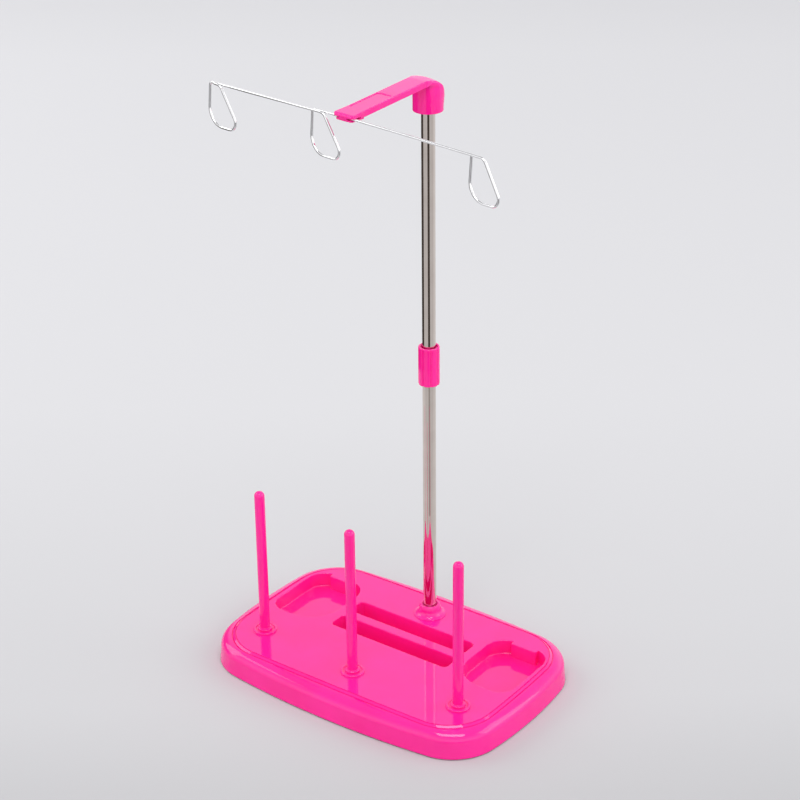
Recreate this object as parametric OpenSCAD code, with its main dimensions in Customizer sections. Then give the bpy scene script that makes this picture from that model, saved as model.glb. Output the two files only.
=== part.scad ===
/* [Base] */
// Length of the base at the rim
base_l = 241.8; // [225:0.1:280]
// Width of the base at the rim
base_w = 163; // [155:0.1:190]
// Bow of the long sides of the rim, over half the length
base_bow_long = 11; // [2:0.1:14]
// Bow of the short sides of the rim, over half the width
base_bow_short = 10.4; // [2:0.1:14]
// Corner radius of the rim
base_corner_r = 37.8; // [30:0.1:55]
// Thickness of the moulded wall
wall = 2.2; // [1.6:0.1:3]
// Height of the rim above the table
rim_z = 0.8; // [0.4:0.1:2]
// Height of the raised deck above the rim
deck_h = 20.2; // [17:0.1:26]
// Lean of the side wall, from the rim up to the shoulder
wall_lean = 1.3; // [0.5:0.1:2.5]
// Height of the rolled shoulder
roll_h = 7.5; // [5:0.1:9]
// Height of the step from the shoulder up to the deck
step_h = 1.3; // [0.6:0.1:2]
// Width of the sloped face of that step
step_run = 1.9; // [1:0.1:3]

/* [Deck] */
// Distance of the deck's edge from the rim, at the left and right
deck_inset_x = 12.05; // [10.5:0.05:18]
// Distance of the deck's edge from the rim, at the front and back
deck_inset_y = 13.4; // [12:0.1:18]
// Bow of the long sides of the deck
deck_bow_long = 1.3; // [0.5:0.1:6]
// Bow of the short sides of the deck
deck_bow_short = 2.5; // [0.5:0.1:6]
// Corner radius of the deck
deck_corner_r = 34.4; // [28:0.1:45]

/* [Trays] */
// Land between each tray and the deck's edge at the end
tray_land_x = 3.55; // [3:0.05:8]
// Land between each tray and the deck's edge at the back
tray_land_y = 15.8; // [13:0.1:22]
// Length of each tray along the base
tray_l = 46.6; // [42:0.1:50]
// Width of each tray across the base
tray_w = 62.3; // [50:0.1:68]
// Depth of the trays below the deck
tray_depth = 11.2; // [9:0.1:15]
// Radius between the tray's wall and its floor
tray_fillet = 2.5; // [1.5:0.1:6]
// Distance from the tray's inner edge to the straight lug on its back wall
lug_in = 13.3; // [12:0.1:17]
// Length of that lug
lug_l = 21; // [12:0.1:22]
// How far the lug stands into the tray
lug_d = 4; // [2:0.1:6]

/* [Slots] */
// Land between the ends of the slots and the trays
slot_tray_land = 7.5; // [5:0.1:14]
// Width of each slot
slot_w = 15; // [10:0.1:17]
// Land between the back slot and the foot of the mast's boss
slot_mast_land = 4.15; // [3:0.05:10]
// Land between the two slots
slot_land = 8; // [5:0.1:10]
// Depth of the slots below the deck
slot_depth = 17.6; // [12:0.1:17.8]
// Corner radius of the slots
slot_r = 3.5; // [2:0.1:6]

/* [Spool pins] */
// Diameter of a spool pin
pin_d = 7.5; // [6:0.1:9]
// Height of a spool pin above the deck
pin_h = 115; // [90:1:140]
// Distance of the two outer pins from the left and right of the rim
pin_inset_x = 35.4; // [33:0.1:50]
// Distance of the two outer pins from the front of the rim
pin_inset_y = 42.5; // [36:0.1:46]
// Distance of the middle pin from the front of the rim
pin_mid_inset_y = 35.2; // [30:0.1:42]
// Diameter of a pin's spigot
spigot_d = 6.4; // [5:0.1:7]
// Length of a pin's spigot
spigot_l = 12; // [8:0.5:14]
// Diameter of the collar at the foot of a pin
pin_collar_d = 10.3; // [9.2:0.1:11.5]
// Height of that collar
pin_collar_h = 1.9; // [1:0.1:3]
// Diameter of the round seat on the deck
seat_d = 17.2; // [15:0.1:20]
// Height of that seat
seat_h = 1.5; // [0.8:0.1:3]

/* [Mast] */
// Outer diameter of the mast tubes
tube_d = 9.5; // [8:0.1:12]
// Wall of the mast tubes
tube_wall = 0.7; // [0.5:0.1:1.2]
// Distance of the mast from the back of the rim
mast_inset_y = 32.5; // [29:0.1:36]
// Height of the flared boss above the deck
boss_h = 8.5; // [6:0.1:12]
// Diameter of the boss at its top
boss_top_d = 14.3; // [13:0.1:16]
// Diameter of the boss where it meets the deck
boss_foot_d = 23.7; // [20:0.1:26]
// Height of the lower tube's foot above the table
tube_foot_z = 4.4; // [3:0.1:8]
// Height of the coupling's lower end above the table
coupling_z = 209.6; // [150:0.1:240]
// Height of the coupling
coupling_h = 28.9; // [20:0.1:36]
// Diameter of the coupling over its ribs
coupling_d = 15.1; // [14:0.1:18]
// Number of grip ribs round the coupling
rib_count = 8; // [6:1:12]
// Depth of the furrows between the ribs
rib_depth = 0.7; // [0.3:0.1:1]
// Thickness of the stop inside the coupling
stop_t = 1.2; // [0.8:0.1:2]
// Diameter of the open mouth at the coupling's top
mouth_d = 11.7; // [10.4:0.1:12.5]
// Depth of that mouth
mouth_h = 2.6; // [1:0.1:4]

/* [Guide arm] */
// Height of the arm socket's lower end above the table
socket_z = 409.5; // [380:0.1:440]
// Diameter of the arm's socket
socket_d = 20.7; // [17:0.1:24]
// Height of the socket and elbow together
elbow_h = 23.6; // [20:0.1:28]
// Radius of the roll over the back of the elbow
elbow_roll_r = 20; // [14:0.1:22]
// Material between the tube's top and the elbow's top
elbow_roof = 10; // [8:0.1:12]
// Turn of the arm about the mast, seen from above
arm_turn = -5.3; // [-30:0.1:30]
// Reach from the mast to the arm's front edge
arm_reach = 83; // [70:0.1:95]
// Width of the arm
arm_w = 15.6; // [12:0.1:18]
// Width of the arm's front end
arm_tip_w = 16.8; // [16:0.1:19]
// Thickness of the arm
arm_t = 4.4; // [3.6:0.1:6]
// Fall of the arm's top from the elbow to its front edge
arm_fall = 5.4; // [0:0.1:8]
// Start of the shallow panel on the arm, from the mast
panel_start = 42; // [30:0.1:50]
// Length of that panel
panel_l = 31; // [15:0.1:34]
// Depth of that panel
panel_depth = 0.5; // [0.2:0.1:0.8]
// Length of the slit that grips the wire
slit_l = 8; // [6:0.1:10]
// Height of that slit
slit_h = 1.4; // [1:0.1:1.6]
// Width of the catch that closes the slit's mouth in the middle
catch_w = 6.6; // [4:0.1:9]

/* [Thread guide] */
// Diameter of the wire
wire_d = 1.8; // [1.4:0.1:2.4]
// Depth of the wire below the top of the arm's front end
wire_depth = 2.7; // [2.4:0.1:3.2]
// Distance of the wire behind the arm's front edge
wire_back = 2.6; // [1.8:0.1:4]
// Left side of the left loop, from the arm's middle
loop_left = -119.4; // [-126:0.1:-100]
// Left side of the middle loop, from the arm's middle
loop_mid = -28.2; // [-36:0.1:-26]
// Left side of the right loop, from the arm's middle
loop_right = 101.6; // [80:0.1:110]
// Width of a loop at its top
loop_top_w = 11.2; // [9.5:0.1:14]
// Reach of a loop's lower corner, before it is rounded
loop_corner = 30; // [24:0.1:32]
// How much shorter that reach is on the right loop
loop_right_less = 2.6; // [0:0.1:4]
// Drop of a loop below the wire
loop_drop = 28.7; // [24:0.1:36]
// Sag of the wire's right end
wire_sag = 1.9; // [0:0.1:3]
// Forward lean of the hanging loops
guide_lean = 4; // [-10:0.1:20]

/* [Feet] */
// Diameter of a rubber foot
foot_d = 12; // [8:0.1:14]
// Thickness of a rubber foot
foot_t = 2.8; // [2:0.1:4]
// Distance of the feet from the left and right of the rim
foot_inset_x = 32.8; // [28:0.1:40]
// Distance of the front feet from the front of the rim
foot_inset_front = 23.5; // [21:0.1:27]
// Distance of the back feet from the back of the rim
foot_inset_back = 19.6; // [17:0.1:22]

/* [Hidden] */
$fn = 96;

hot_pink = [1, 0.16, 0.55];
tube_metal = [0.78, 0.75, 0.71];
wire_chrome = [0.85, 0.86, 0.88];
foot_rubber = [0.12, 0.12, 0.13];

// Running clearance of everything that turns, slides or pushes in, on the radius
fit = 0.05;
// A cut runs this far past the face that it opens
over = 1;
// Steps of a side arc and of a corner arc of the outlines
side_steps = 6;
corner_steps = 10;

deck_l = base_l - 2 * deck_inset_x;
deck_w = base_w - 2 * deck_inset_y;
deck_z = rim_z + deck_h;
shoulder_z = deck_z - step_h;
// Width of the shoulder, from the rim to the foot of the step
shoulder_w = deck_inset_y - step_run;
pocket_wall = wall * 0.8;

// The trays stand in from the deck's ends and back, and the slots lie between them, in front of the mast
tray_out_x = deck_l / 2 - tray_land_x;
tray_in_x = tray_out_x - tray_l;
tray_back_y = deck_w / 2 - tray_land_y;
tray_front_y = tray_back_y - tray_w;
tray_floor_z = deck_z - tray_depth;
lug_in_x = tray_in_x + lug_in;
lug_out_x = lug_in_x + lug_l;
mast_y = base_w / 2 - mast_inset_y;
slot_l = 2 * (tray_in_x - slot_tray_land);
slot_floor_z = deck_z - slot_depth;
slot_back_y = mast_y - boss_foot_d / 2 - slot_mast_land - slot_w / 2;
slot_front_y = slot_back_y - slot_w - slot_land;

tray_r_front_out = 12;
tray_r_back_out = 15;
tray_r_back_in = 17;
tray_r_front_in = 24;

pin_spacing = base_l / 2 - pin_inset_x;
pin_y = pin_inset_y - base_w / 2;
pin_mid_y = pin_mid_inset_y - base_w / 2;
seat_z = deck_z + seat_h;
well_d = seat_d - 3.4;
well_h = seat_h / 2;
pin_foot_z = seat_z - well_h;
pin_top_z = deck_z + pin_h;
pin_boss_d = spigot_d + 2 * wall + 1.4;
// Room under the tip of a spigot, so that the pin rests on its collar
spigot_gap = 0.5;
pin_boss_z = pin_foot_z - spigot_l - spigot_gap - wall;

boss_z = deck_z + boss_h;
mast_boss_d = tube_d + 2 * wall;
coupling_top_z = coupling_z + coupling_h;
stop_z = coupling_z + (coupling_h - stop_t) / 2;
coupling_step = 360 / rib_count;

arm_top_z = socket_z + elbow_h;
tube_top_z = arm_top_z - elbow_roof;
elbow_r = socket_d / 2;
// The roll over the back starts from the socket's back and ends level, just behind its front
roll_x = elbow_roll_r - elbow_r;
roll_z = arm_top_z - elbow_roll_r;
// The arm's top starts to fall at the socket's front, or at the end of the roll
fall_x = max(elbow_r, roll_x);
tip_top_z = arm_top_z - arm_fall;
wire_y = arm_reach - wire_back;
wire_z = tip_top_z - wire_depth;
jaw_t = 1.3;
jaw_bottom_z = wire_z - slit_h / 2 - jaw_t;
jaw_root = 4.5;

loop_starts = [loop_left, loop_mid, loop_right];
// The wire crosses itself beside, and not through, its own run
loop_pitch = wire_d + 0.3;
bend_top_in = 2.4;
bend_top_out = 5;
bend_low_corner = 5.5;
bend_low_side = 12.5;
wire_sides = 10;
bend_steps = 7;

// The arm is turned to the left, so the wire's left end reaches past the base.
// The origin is the middle of the whole footprint, and the base stands to the right of it.
wire_left_x = wire_y * sin(arm_turn) + (loop_left - wire_d / 2) * cos(arm_turn);
base_x = -(wire_left_x + base_l / 2) / 2;

function mix(a, b, t) = a + (b - a) * t;

// A rectangle of size l by w whose sides bow outwards and run smoothly into round corners.
// size = [l, w, bow of the long sides, bow of the short sides, corner radius]
function bow_r(half, bow) = (half * half + bow * bow) / (2 * bow);
function settle(p, cx, cy, rx, ry, n) =
  n == 0 ? p
  : let (x = cx + sqrt(rx * rx - p[1] * p[1]))
    settle([x, cy + sqrt(ry * ry - x * x)], cx, cy, rx, ry, n - 1);
function arc(c, r, a0, a1, n) =
  [for (i = [0:n]) let (a = mix(a0, a1, i / n)) [c[0] + r * cos(a), c[1] + r * sin(a)]];
function quarter(size) =
  let (a = size[0] / 2, b = size[1] / 2, r = size[4],
    r_long = bow_r(a, size[2]), r_short = bow_r(b, size[3]),
    cx = a - r_short, cy = b - r_long,
    p = settle([a - r, b - r], cx, cy, r_short - r, r_long - r, 12),
    a_short = atan2(p[1], p[0] - cx), a_long = atan2(p[1] - cy, p[0]))
  concat(
    arc([cx, 0], r_short, 0, a_short, side_steps),
    arc(p, r, a_short, a_long, corner_steps),
    arc([0, cy], r_long, a_long, 90, side_steps));
function keep_apart(pts) =
  [for (i = [0:len(pts) - 1]) if (norm(pts[i] - pts[(i + 1) % len(pts)]) > 0.001) pts[i]];
function backwards(pts) = [for (i = [len(pts) - 1:-1:0]) pts[i]];
function bowed(size) =
  let (q = quarter(size))
  keep_apart(concat(q,
    [for (p = backwards(q)) [-p[0], p[1]]],
    [for (p = q) [-p[0], -p[1]]],
    [for (p = backwards(q)) [p[0], -p[1]]]));

function shrink(size, inset) =
  [size[0] - 2 * inset, size[1] - 2 * inset, size[2], size[3], size[4] - inset];
rim_size = [base_l, base_w, base_bow_long, base_bow_short, base_corner_r];
deck_size = [deck_l, deck_w, deck_bow_long, deck_bow_short, deck_corner_r];
step_size = shrink(deck_size, -step_run);
function shoulder_size(inset) =
  [for (i = [0:4]) mix(rim_size[i], step_size[i], inset / shoulder_w)];

// Rings of the shell from the rim to the deck, each a size and a height
function roll_ring(angle) =
  [shoulder_size(wall_lean + (shoulder_w - wall_lean) * (1 - cos(angle))),
    shoulder_z - roll_h * (1 - sin(angle))];
shell_rings = concat(
  [[shoulder_size(0), rim_z]],
  [for (angle = [0:15:90]) roll_ring(angle)],
  [[shrink(deck_size, -0.2), deck_z - 0.1], [shrink(deck_size, 0.3), deck_z]]);

// A closed solid through rings of equally many points, from the lowest to the highest
module loft(rings) {
  n = len(rings[0]);
  m = len(rings);
  points = [for (ring = rings) each ring];
  sides = [for (k = [0:m - 2]) for (i = [0:n - 1]) let (j = (i + 1) % n, low = k * n, high = low + n)
    each [[low + i, high + i, high + j], [low + i, high + j, low + j]]];
  lid = [for (i = [n - 1:-1:0]) (m - 1) * n + i];
  bottom = [for (i = [0:n - 1]) i];
  polyhedron(points = points, faces = concat(sides, [lid], [bottom]), convexity = 6);
}

function at_height(pts, z) = [for (p = pts) [p[0], p[1], z]];

module shell_outside() {
  loft([for (s = shell_rings) at_height(bowed(s[0]), s[1])]);
}

module shell_inside() {
  low = [at_height(bowed(shrink(shoulder_size(0), wall)), rim_z - over)];
  loft(concat(low, [for (s = shell_rings) if (s[1] > rim_z)
    at_height(bowed(shrink(s[0], wall)), s[1] - wall)]));
}

// The outline of the right-hand tray, drawn in by inset
function tray_outline(inset) =
  let (x0 = tray_in_x + inset, x1 = tray_out_x - inset,
    y0 = tray_front_y + inset, y1 = tray_back_y - inset,
    rfo = tray_r_front_out - inset, rbo = tray_r_back_out - inset,
    rbi = tray_r_back_in - inset, rfi = tray_r_front_in - inset)
  concat(
    arc([x1 - rfo, y0 + rfo], rfo, -90, 0, 8),
    arc([x1 - rbo, y1 - rbo], rbo, 0, 90, 8),
    arc([x0 + rbi, y1 - rbi], rbi, 90, 180, 8),
    arc([x0 + rfi, y0 + rfi], rfi, 180, 270, 8));

module tray_hollow() {
  fillet = [for (a = [0:15:90]) [tray_fillet * (1 - sin(a)), tray_floor_z + tray_fillet * (1 - cos(a))]];
  rings = concat(fillet, [[0, deck_z + over]]);
  loft([for (s = rings) at_height(tray_outline(s[0]), s[1])]);
}

module tray_lug() {
  translate([lug_in_x, tray_back_y - lug_d, tray_floor_z - pocket_wall])
    cube([lug_out_x - lug_in_x, lug_d + pocket_wall, tray_depth + pocket_wall]);
}

// A box with round upright corners, of radius end_r at its +x end
module rounded_box(l, w, h, r, end_r) {
  linear_extrude(height = h)
    polygon(concat(
      arc([l / 2 - end_r, end_r - w / 2], end_r, -90, 0, 6),
      arc([l / 2 - end_r, w / 2 - end_r], end_r, 0, 90, 6),
      arc([r - l / 2, w / 2 - r], r, 90, 180, 6),
      arc([r - l / 2, r - w / 2], r, 180, 270, 6)));
}

// What the shell carries under its deck: pocket walls, pin and mast sockets, foot pads
module under_deck() {
  for (side = [-1, 1])
    scale([side, 1, 1])
      translate([0, 0, tray_floor_z - pocket_wall])
        linear_extrude(height = tray_depth + pocket_wall - wall / 2)
          polygon(tray_outline(-pocket_wall));
  for (y = [slot_front_y, slot_back_y])
    translate([0, y, slot_floor_z - pocket_wall])
      rounded_box(slot_l + 2 * pocket_wall, slot_w + 2 * pocket_wall,
        slot_depth + pocket_wall - wall / 2, slot_r + pocket_wall, slot_r + pocket_wall);
  for (p = pin_places)
    translate([p[0], p[1], pin_boss_z])
      cylinder(d = pin_boss_d, h = deck_z - wall / 2 - pin_boss_z);
  translate([0, mast_y, tube_foot_z - wall])
    cylinder(d = mast_boss_d, h = deck_z - wall / 2 - tube_foot_z + wall);
  for (p = foot_places)
    translate([p[0], p[1], foot_t])
      cylinder(d = foot_d + wall, h = shoulder_z - wall * 0.8 - foot_t);
}

pin_places = [[-pin_spacing, pin_y], [0, pin_mid_y], [pin_spacing, pin_y]];
foot_x = base_l / 2 - foot_inset_x;
foot_front_y = base_w / 2 - foot_inset_front;
foot_back_y = base_w / 2 - foot_inset_back;
foot_places = [[-foot_x, -foot_front_y], [foot_x, -foot_front_y], [-foot_x, foot_back_y], [foot_x, foot_back_y]];

// The flared boss that the mast stands in, above the deck
module mast_boss() {
  flare = boss_h * 0.62;
  run = (boss_foot_d - boss_top_d) / 2 - 0.8;
  lip = 0.8;
  hollow_arc = [for (i = [0:6]) let (a = 15 * i)
    [boss_foot_d / 2 - run * sin(a), deck_z + lip + flare * (1 - cos(a))]];
  rotate_extrude()
    polygon(concat(
      [[0, deck_z - wall / 2], [boss_foot_d / 2, deck_z - wall / 2], [boss_foot_d / 2, deck_z + lip]],
      hollow_arc,
      [[boss_top_d / 2, boss_z - lip], [boss_top_d / 2 - lip, boss_z], [0, boss_z]]));
}

// The round seat of a spool pin, with a shallow well round the pin's collar
module pin_seat() {
  edge = seat_h * 0.4;
  rotate_extrude()
    polygon([[0, deck_z - wall / 2], [seat_d / 2, deck_z - wall / 2], [seat_d / 2, seat_z - edge],
      [seat_d / 2 - edge, seat_z], [well_d / 2, seat_z], [well_d / 2 - edge, pin_foot_z],
      [0, pin_foot_z]]);
}

module base_shell() {
  color(hot_pink)
    translate([base_x, 0, 0]) {
      difference() {
        union() {
          difference() {
            shell_outside();
            shell_inside();
          }
          under_deck();
          for (p = pin_places)
            translate([p[0], p[1], 0])
              pin_seat();
          translate([0, mast_y, 0])
            mast_boss();
        }
        for (side = [-1, 1])
          scale([side, 1, 1])
            difference() {
              tray_hollow();
              tray_lug();
            }
        for (y = [slot_front_y, slot_back_y])
          translate([0, y, slot_floor_z])
            rounded_box(slot_l, slot_w, slot_depth + over, slot_r, slot_r);
        for (p = pin_places)
          translate([p[0], p[1], pin_foot_z - spigot_l - spigot_gap])
            cylinder(d = spigot_d + 2 * fit, h = spigot_l + spigot_gap + over);
        translate([0, mast_y, tube_foot_z])
          cylinder(d = tube_d + 2 * fit, h = boss_z - tube_foot_z + over);
      }
    }
}

module foot(i) {
  color(foot_rubber)
    translate([base_x + foot_places[i][0], foot_places[i][1], 0])
      cylinder(d = foot_d, h = foot_t);
}
module foot_front_left() { foot(0); }
module foot_front_right() { foot(1); }
module foot_back_left() { foot(2); }
module foot_back_right() { foot(3); }

// A spool pin: a spigot, a collar that rests in its seat, and a round-topped shaft
module spool_pin(i) {
  dome = [for (a = [0:10:90]) [pin_d / 2 * cos(a), pin_top_z - pin_d / 2 * (1 - sin(a))]];
  ease = 0.5;
  color(hot_pink)
    translate([base_x + pin_places[i][0], pin_places[i][1], 0])
      rotate_extrude()
        polygon(concat(
          [[0, pin_foot_z - spigot_l], [spigot_d / 2 - ease, pin_foot_z - spigot_l],
            [spigot_d / 2, pin_foot_z - spigot_l + ease], [spigot_d / 2, pin_foot_z],
            [pin_collar_d / 2, pin_foot_z], [pin_collar_d / 2, pin_foot_z + pin_collar_h - ease],
            [pin_collar_d / 2 - ease, pin_foot_z + pin_collar_h], [pin_d / 2, pin_foot_z + pin_collar_h]],
          dome));
}
module spool_pin_left() { spool_pin(0); }
module spool_pin_middle() { spool_pin(1); }
module spool_pin_right() { spool_pin(2); }

module on_mast() {
  translate([base_x, mast_y, 0])
    children();
}

module tube(z0, z1) {
  color(tube_metal)
    on_mast()
      translate([0, 0, z0])
        difference() {
          cylinder(d = tube_d, h = z1 - z0);
          translate([0, 0, -over])
            cylinder(d = tube_d - 2 * tube_wall, h = z1 - z0 + 2 * over);
        }
}
module lower_tube() { tube(tube_foot_z, stop_z); }
module upper_tube() { tube(stop_z + stop_t, tube_top_z); }

// The ribbed sleeve that joins the two tubes
module tube_coupling() {
  furrow_r = 1.6;
  color(hot_pink)
    on_mast()
      difference() {
        translate([0, 0, coupling_z])
          cylinder(d = coupling_d, h = coupling_h);
        for (i = [0:rib_count - 1])
          rotate([0, 0, (i + 0.5) * coupling_step])
            translate([coupling_d / 2 - rib_depth + furrow_r, 0, coupling_z - over])
              cylinder(r = furrow_r, h = coupling_h + 2 * over);
        translate([0, 0, coupling_z - over])
          cylinder(d = tube_d + 2 * fit, h = stop_z - coupling_z + over);
        translate([0, 0, stop_z + stop_t])
          cylinder(d = tube_d + 2 * fit, h = coupling_top_z - stop_z - stop_t + over);
        translate([0, 0, coupling_top_z - mouth_h])
          cylinder(d = mouth_d, h = mouth_h + over);
      }
}

// The arm lies along its own x, from the mast to its front edge, before it is turned
module turned_arm() {
  on_mast()
    rotate([0, 0, arm_turn - 90])
      children();
}

// The bar seen from its side: its top follows the elbow's roll and then falls to the front
module bar_profile() {
  slope = arm_fall / (arm_reach - fall_x);
  nose = 1.6;
  jaw_start = arm_reach - slit_l - jaw_root;
  polygon(concat(
    [[0, arm_top_z - arm_t]],
    arc([roll_x, roll_z], elbow_roll_r, 90 + asin(roll_x / elbow_roll_r), 90, 6),
    [[fall_x, arm_top_z],
      [arm_reach - nose, tip_top_z + slope * nose],
      [arm_reach, tip_top_z - nose], [arm_reach, wire_z],
      [jaw_start, arm_top_z - slope * (jaw_start - fall_x) - arm_t],
      [fall_x, arm_top_z - arm_t]]));
}

// The bar seen from above, a little wider at its front end and round at its corners
module bar_plan() {
  tip_r = 2.5;
  flare_x = arm_reach - slit_l - jaw_root;
  polygon(concat(
    [[0, arm_w / 2], [0, -arm_w / 2], [flare_x, -arm_w / 2]],
    arc([arm_reach - tip_r, tip_r - arm_tip_w / 2], tip_r, -90, 0, 6),
    arc([arm_reach - tip_r, arm_tip_w / 2 - tip_r], tip_r, 0, 90, 6),
    [[flare_x, arm_w / 2]]));
}

module arm_bar() {
  intersection() {
    rotate([90, 0, 0])
      translate([0, 0, -arm_w])
        linear_extrude(height = 2 * arm_w)
          bar_profile();
    translate([0, 0, socket_z])
      linear_extrude(height = elbow_h)
        bar_plan();
  }
}

// The round socket, rolled over at its back and drawn in to the arm's width at its top
module arm_socket() {
  draw_in = (socket_d - arm_w) / 2;
  draw_h = elbow_h * 0.55;
  intersection() {
    translate([0, 0, socket_z])
      cylinder(d = socket_d, h = elbow_h);
    rotate([90, 0, 0])
      translate([0, 0, -socket_d])
        linear_extrude(height = 2 * socket_d)
          polygon(concat(
            [[-elbow_r - over, socket_z - over], [-elbow_r - over, roll_z]],
            arc([roll_x, roll_z], elbow_roll_r, 180, 90, 10),
            [[elbow_r + over, arm_top_z], [elbow_r + over, socket_z - over]]));
    rotate([90, 0, 90])
      translate([0, 0, -socket_d])
        linear_extrude(height = 2 * socket_d)
          polygon([for (side = [-1, 1]) each [for (i = [0:8]) let (t = (side < 0 ? i : 8 - i) / 8)
            [side * (elbow_r + 0.01 - draw_in * (1 - cos(90 * t))), arm_top_z - draw_h * (1 - sin(90 * t))]],
            [elbow_r + 0.01, socket_z - over], [-elbow_r - 0.01, socket_z - over]]);
  }
}

module guide_arm() {
  color(hot_pink)
    turned_arm()
      difference() {
        union() {
          arm_socket();
          arm_bar();
          jaw();
        }
        translate([0, 0, socket_z - over])
          cylinder(d = tube_d + 2 * fit, h = tube_top_z - socket_z + over);
        slit();
        translate([wire_y, arm_w, wire_z])
          rotate([90, 0, 0])
            cylinder(d = wire_d + 2 * fit, h = 2 * arm_w);
        arm_panel();
      }
}

// The slit between the jaws. A catch in front of the wire closes it in the middle, but for a hair under the lip
module slit() {
  catch_l = wire_back - wire_d / 2 - fit;
  lip_gap = 0.1;
  difference() {
    translate([arm_reach - slit_l, -arm_w, wire_z - slit_h / 2])
      cube([slit_l + over, 2 * arm_w, slit_h]);
    translate([arm_reach - catch_l, -catch_w / 2, wire_z - slit_h / 2 - over])
      cube([catch_l + 2 * over, catch_w, slit_h + over - lip_gap]);
  }
}

// The lower jaw under the arm's front edge
module jaw() {
  translate([arm_reach - slit_l - jaw_root, -arm_w / 2 + 0.6, jaw_bottom_z])
    cube([slit_l + jaw_root - 0.6, arm_w - 1.2, wire_z - jaw_bottom_z]);
}

// The shallow panel sunk into the arm's sloping top
module arm_panel() {
  slope = atan(arm_fall / (arm_reach - fall_x));
  margin = 1.5;
  translate([fall_x, 0, arm_top_z])
    rotate([0, slope, 0])
      translate([panel_start - fall_x + panel_l / 2, 0, -panel_depth])
        rounded_box(panel_l, arm_w - 2 * margin, panel_depth + over, 2, 5);
}

// The wire's centre line: x along the wire, y behind it, z up.
// Each loop comes in along the wire, goes down its slanted side, along its bottom
// and up its straight side, and leaves behind its own start.
function loop_points(k) =
  let (x = loop_starts[k], y = (k - 2) * loop_pitch, z = loop_heights[k])
  [
    [[x + loop_top_w, y, z], bend_top_out],
    [[x + loop_reaches[k], y + loop_pitch * 0.3, z - loop_drop], bend_low_corner],
    [[x, y + loop_pitch * 0.7, z - loop_drop], bend_low_side],
    [[x, y + loop_pitch, z], bend_top_in]
  ];
loop_heights = [0, 0, -wire_sag];
loop_reaches = [loop_corner, loop_corner, loop_corner - loop_right_less];
wire_front_y = -2 * loop_pitch;
// The left end is bent back towards the left, and the right run sags from the arm's side on
wire_start = [[loop_left + loop_top_w / 2, wire_front_y, 0.4], 0];
wire_leaves_arm = [[arm_tip_w / 2 + 1, 0, 0], 20];
wire_end = [[loop_right, loop_pitch, -wire_sag - 0.6], 0];
wire_corners = concat(
  [wire_start],
  loop_points(0),
  loop_points(1),
  [wire_leaves_arm],
  [for (i = [0:2]) loop_points(2)[i]],
  [wire_end]);

function unit(a) = a / norm(a);
// Points of the round bend at corner b, between a and c
function bend(a, b, c, r) =
  let (u = unit(a - b), v = unit(c - b), half = acos(u * v) / 2,
    reach = r / tan(half), centre = b + unit(u + v) * (r / sin(half)),
    e1 = unit(b + u * reach - centre), e2 = unit(b + v * reach - centre),
    sweep = acos(e1 * e2), side = unit(e2 - e1 * (e1 * e2)))
  [for (i = [0:bend_steps]) let (t = sweep * i / bend_steps)
    centre + (e1 * cos(t) + side * sin(t)) * r];
wire_path = concat(
  [wire_corners[0][0]],
  [for (i = [1:len(wire_corners) - 2])
    each bend(wire_corners[i - 1][0], wire_corners[i][0], wire_corners[i + 1][0], wire_corners[i][1])],
  [wire_corners[len(wire_corners) - 1][0]]);

function heading(i) =
  i == 0 ? unit(wire_path[1] - wire_path[0])
  : i == len(wire_path) - 1 ? unit(wire_path[i] - wire_path[i - 1])
  : unit(unit(wire_path[i + 1] - wire_path[i]) + unit(wire_path[i] - wire_path[i - 1]));
function wire_ring(i) =
  let (t = heading(i), across = unit(cross(t, [0, 1, 0])), back = cross(t, across))
  [for (k = [0:wire_sides - 1]) let (a = 360 * k / wire_sides)
    wire_path[i] + (across * cos(a) + back * sin(a)) * wire_d / 2];

module thread_guide() {
  color(wire_chrome)
    on_mast()
      rotate([0, 0, arm_turn])
        translate([0, -wire_y, wire_z])
          rotate([-guide_lean, 0, 0])
            loft([for (i = [0:len(wire_path) - 1]) wire_ring(i)]);
}

base_shell();
foot_front_left();
foot_front_right();
foot_back_left();
foot_back_right();
spool_pin_left();
spool_pin_middle();
spool_pin_right();
lower_tube();
tube_coupling();
upper_tube();
guide_arm();
thread_guide();
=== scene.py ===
import bmesh
import bpy
import math
from mathutils import Matrix, Vector


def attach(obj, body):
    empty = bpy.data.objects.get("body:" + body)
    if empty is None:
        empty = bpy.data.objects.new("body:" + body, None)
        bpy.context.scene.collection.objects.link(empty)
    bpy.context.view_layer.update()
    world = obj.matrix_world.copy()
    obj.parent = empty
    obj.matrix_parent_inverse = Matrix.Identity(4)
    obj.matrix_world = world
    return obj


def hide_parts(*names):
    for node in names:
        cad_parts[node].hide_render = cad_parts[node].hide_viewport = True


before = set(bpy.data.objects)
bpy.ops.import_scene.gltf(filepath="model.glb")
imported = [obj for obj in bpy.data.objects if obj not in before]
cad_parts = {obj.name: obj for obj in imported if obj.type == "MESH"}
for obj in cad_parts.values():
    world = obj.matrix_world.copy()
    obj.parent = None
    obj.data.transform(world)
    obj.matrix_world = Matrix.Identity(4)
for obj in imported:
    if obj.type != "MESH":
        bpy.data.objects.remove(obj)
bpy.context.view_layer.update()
scene = bpy.context.scene
MM = 0.001

# Sizes in mm and degrees, as in the part's source where it has them.

# Base: the outlines of its rim and its deck, and the wall between them
BASE_L, BASE_W, BASE_R = 241.8, 163.0, 37.8
BASE_BOW_LONG, BASE_BOW_SHORT = 11.0, 10.4
DECK_L, DECK_W, DECK_R = 217.7, 136.2, 34.4
DECK_BOW_LONG, DECK_BOW_SHORT = 1.3, 2.5
WALL, RIM_Z, DECK_H = 2.2, 0.8, 20.2
WALL_LEAN, ROLL_H = 1.3, 7.5
STEP_H, STEP_RUN = 1.3, 1.9
RIM_EDGE = 0.25

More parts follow.
